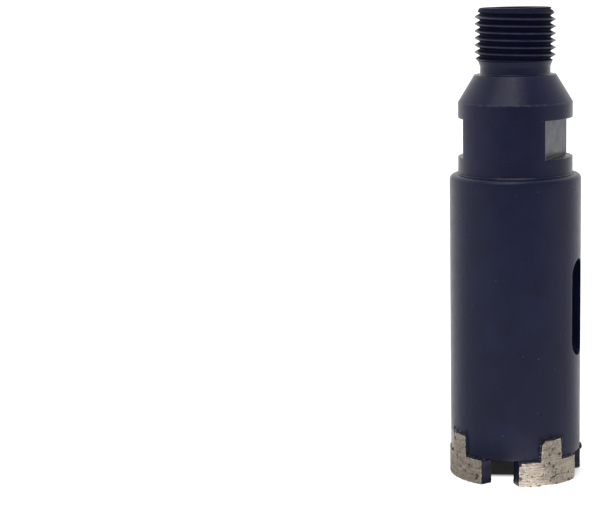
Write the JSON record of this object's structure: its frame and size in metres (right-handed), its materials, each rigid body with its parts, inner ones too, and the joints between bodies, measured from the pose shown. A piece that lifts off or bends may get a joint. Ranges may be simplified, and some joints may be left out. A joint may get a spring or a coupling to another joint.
{
  "type": "diamond core bit",
  "caption": "Slotted steel barrel with a castellated crown of diamond segments and a hub with a left-hand pipe-threaded shank, for wet core drilling.",
  "frame": {"origin": "centre of the cutting face, on the axis, where the crown meets the work", "axes": "+Z along the axis from the crown to the threaded shank; the two spanner flats face +X and -X"},
  "size_m": [0.0343, 0.0345, 0.1234],
  "materials": {
    "hub_paint": "dark navy semi-gloss paint over turned steel, thin on the thread crests",
    "barrel_paint": "dark navy satin paint with fine orange peel, pooled dark round the brazed tabs",
    "diamond_matrix": "dressed sintered metal, warm grey, with round-the-axis grinding scratches, pits and diamond grit"
  },
  "bodies": {
    "root": {"shank_hub": "hub_paint", "barrel_tube": "barrel_paint", "segment_1": "diamond_matrix", "segment_2": "diamond_matrix", "segment_3": "diamond_matrix", "segment_4": "diamond_matrix"}
  },
  "joints": []
}
